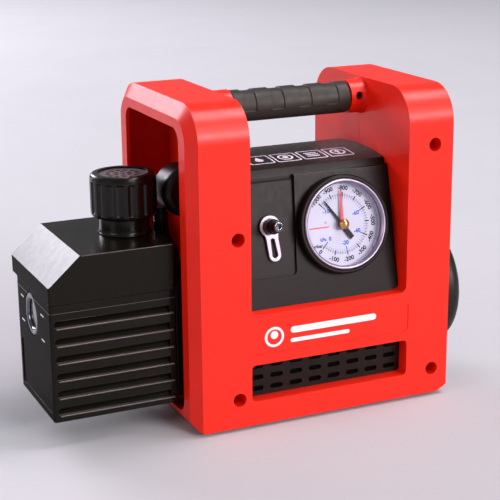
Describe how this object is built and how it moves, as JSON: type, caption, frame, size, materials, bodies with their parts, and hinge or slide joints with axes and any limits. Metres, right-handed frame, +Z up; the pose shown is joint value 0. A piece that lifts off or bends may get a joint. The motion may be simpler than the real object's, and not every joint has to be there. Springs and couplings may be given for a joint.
{
  "type": "rotary vane vacuum pump",
  "caption": "Portable rotary vane vacuum pump: ribbed oil case with sight glass and exhaust cap, motor in a two-shell carrying frame with handle, vacuum gauge and valve lever",
  "frame": {"origin": "middle of the box around the whole pump, on the floor under the rubber feet", "axes": "+X along the drive line from the oil case to the fan cover, +Y from the gauge side to the back, +Z up"},
  "size_m": [0.36, 0.162, 0.257],
  "materials": {
    "red_plastic": "moulded, satin gloss",
    "black_plastic": "fine moulded texture",
    "black_paint": "satin black paint on cast aluminium",
    "rubber": "matt",
    "chrome": "polished",
    "steel": "machined",
    "aluminium": "as cast",
    "brass": "machined",
    "copper": "drawn copper",
    "glass": "clear",
    "dial_white": "matt white enamel with printed scales",
    "needle_black": "matt black",
    "pointer_red": "satin red",
    "cast_iron": "ground",
    "vane_composite": "pressed fibre composite",
    "switch_red": "translucent red, gloss"
  },
  "bodies": {
    "chassis": {"front_shell": "red_plastic", "back_shell": "red_plastic", "front_grille": "black_plastic", "back_grille": "black_plastic", "motor_cover": "black_plastic", "gauge_case": "black_plastic", "fan_cover": "black_plastic", "control_panel": "black_plastic", "switch_body": "black_plastic", "mains_inlet": "black_plastic", "intake_body": "black_paint", "oil_case": "black_paint", "case_cover": "black_paint", "exhaust_neck": "black_paint", "pump_flange": "black_paint", "pump_bracket": "black_paint", "motor_housing": "black_paint", "left_front_foot": "rubber", "left_back_foot": "rubber", "right_front_foot": "rubber", "right_back_foot": "rubber", "handle_grip": "rubber", "shaft_seal": "rubber", "gauge_bezel": "chrome", "sight_ring": "chrome", "handle_tube": "steel", "motor_stator": "steel", "front_bearing": "steel", "rear_bearing": "steel", "rear_end_bell": "aluminium", "capacitor": "aluminium", "gauge_movement": "brass", "bourdon_tube": "brass", "valve_body": "brass", "intake_fitting": "brass", "drain_plug": "brass", "gauge_tube": "copper", "intake_tube": "copper", "stator_winding": "copper", "gauge_lens": "glass", "sight_glass": "glass", "gauge_dial": "dial_white", "pump_stator": "cast_iron", "pump_end_plate": "cast_iron"},
    "shaft": {"motor_rotor": "steel", "cooling_fan": "black_plastic", "pump_rotor": "steel"},
    "front_vane_body": {"front_vane": "vane_composite"},
    "back_vane_body": {"back_vane": "vane_composite"},
    "valve_handle": {"valve_spindle": "black_plastic", "valve_lever": "chrome", "lever_screw": "chrome"},
    "gauge_hand": {"gauge_needle": "needle_black"},
    "set_hand": {"set_pointer": "pointer_red", "pointer_knob": "brass"},
    "power_rocker": {"switch_rocker": "switch_red"},
    "exhaust_top": {"exhaust_cap": "black_plastic", "exhaust_screen": "black_plastic"},
    "ballast_valve": {"ballast_knob": "black_plastic"},
    "intake_cover": {"intake_cap": "brass"}
  },
  "joints": [
    {"name": "shaft_spin", "type": "hinge", "parent": "chassis", "child": "shaft", "pos_m": [0, 0, 0.072], "axis": [1, 0, 0], "continuous": true},
    {"name": "front_vane_slide", "type": "slide", "parent": "shaft", "child": "front_vane_body", "axis": [0, -1, 0], "range_m": [0, 0.0026]},
    {"name": "back_vane_slide", "type": "slide", "parent": "shaft", "child": "back_vane_body", "axis": [0, 1, 0], "range_m": [0, 0.0026]},
    {"name": "valve_turn", "type": "hinge", "parent": "chassis", "child": "valve_handle", "pos_m": [-0.002, -0.05593, 0.155], "axis": [0, -0.9766, 0.2149], "range_deg": [-75, 0]},
    {"name": "needle_swing", "type": "hinge", "parent": "chassis", "child": "gauge_hand", "pos_m": [0.0599, -0.057, 0.1501], "axis": [0, -0.9766, 0.2149], "range_deg": [-260, 13]},
    {"name": "set_pointer_turn", "type": "hinge", "parent": "chassis", "child": "set_hand", "pos_m": [0.0599, -0.057, 0.1501], "axis": [0, -0.9766, 0.2149], "range_deg": [-222, 48]},
    {"name": "power_rock", "type": "hinge", "parent": "chassis", "child": "power_rocker", "pos_m": [0.142, -0.026, 0.181], "axis": [0, 1, 0], "range_deg": [-14, 0]},
    {"name": "exhaust_cap_lift", "type": "slide", "parent": "chassis", "child": "exhaust_top", "axis": [0, 0, 1], "range_m": [0, 0.03]},
    {"name": "ballast_turn", "type": "hinge", "parent": "chassis", "child": "ballast_valve", "pos_m": [-0.098, 0.039, 0.099], "axis": [0, 1, 0], "range_deg": [0, 180]},
    {"name": "intake_cap_pull", "type": "slide", "parent": "chassis", "child": "intake_cover", "axis": [0, 1, 0], "range_m": [0, 0.018]}
  ]
}
